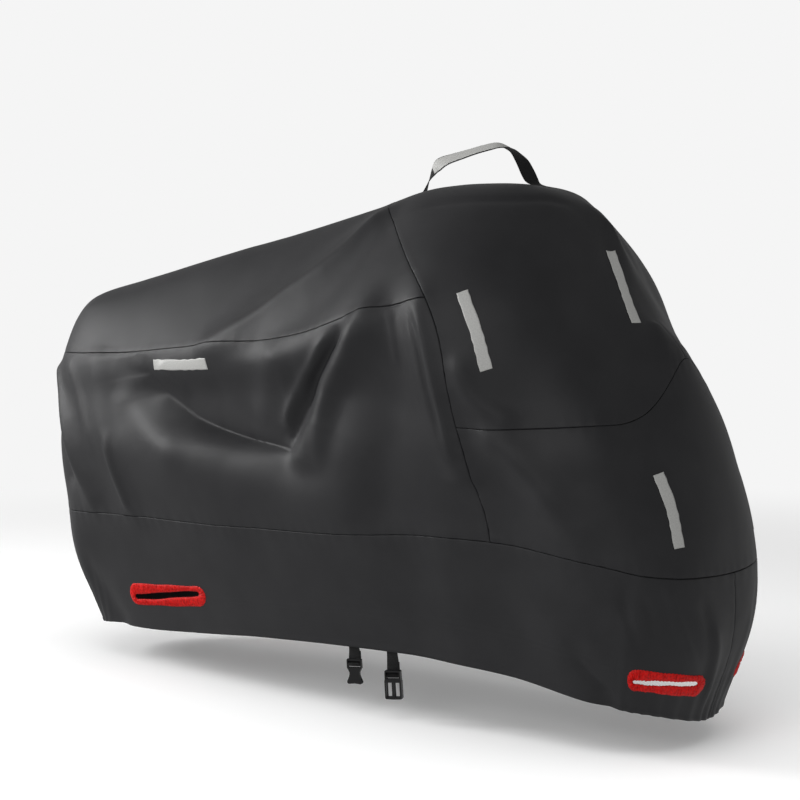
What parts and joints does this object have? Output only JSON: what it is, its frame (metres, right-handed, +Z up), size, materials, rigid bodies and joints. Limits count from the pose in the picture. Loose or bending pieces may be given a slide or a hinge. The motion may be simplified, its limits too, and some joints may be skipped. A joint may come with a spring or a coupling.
{
  "type": "motorcycle cover",
  "caption": "Empty fitted cloth cover in the shape it takes over a motorcycle, with sewn panels, reflective tapes, bound lock holes, a webbing handle and buckle straps under the hem.",
  "frame": {"origin": "on the underside of the cloth at the top, where the machine's highest part holds the cover up", "axes": "+X towards the machine's front, +Y to its left, +Z up"},
  "size_m": [1.982, 0.7625, 1.2615],
  "materials": {
    "cover_cloth": "black coated polyester plain weave, half matt",
    "reflective_tape": "silver grey reflective tape on cloth",
    "red_binding": "red gathered polyester binding",
    "webbing": "black polypropylene webbing",
    "buckle_plastic": "black moulded acetal"
  },
  "bodies": {
    "root": {"rear_top_panel": "cover_cloth", "rear_side_panel_right": "cover_cloth", "rear_side_panel_left": "cover_cloth", "front_upper_panel": "cover_cloth", "front_lower_panel": "cover_cloth", "skirt_right": "cover_cloth", "skirt_left": "cover_cloth", "reflective_tape_fairing_right": "reflective_tape", "reflective_tape_fairing_left": "reflective_tape", "reflective_tape_front": "reflective_tape", "reflective_tape_nose_right": "reflective_tape", "reflective_tape_nose_left": "reflective_tape", "reflective_tape_tail_right": "reflective_tape", "reflective_tape_tail_left": "reflective_tape", "lock_hole_binding_rear_right": "red_binding", "lock_hole_binding_rear_left": "red_binding", "lock_hole_binding_front_right": "red_binding", "lock_hole_binding_front_left": "red_binding", "handle": "webbing", "handle_tape": "reflective_tape", "buckle_strap_male": "webbing", "buckle_strap_female": "webbing", "buckle_male": "buckle_plastic", "buckle_female": "buckle_plastic"}
  },
  "joints": []
}
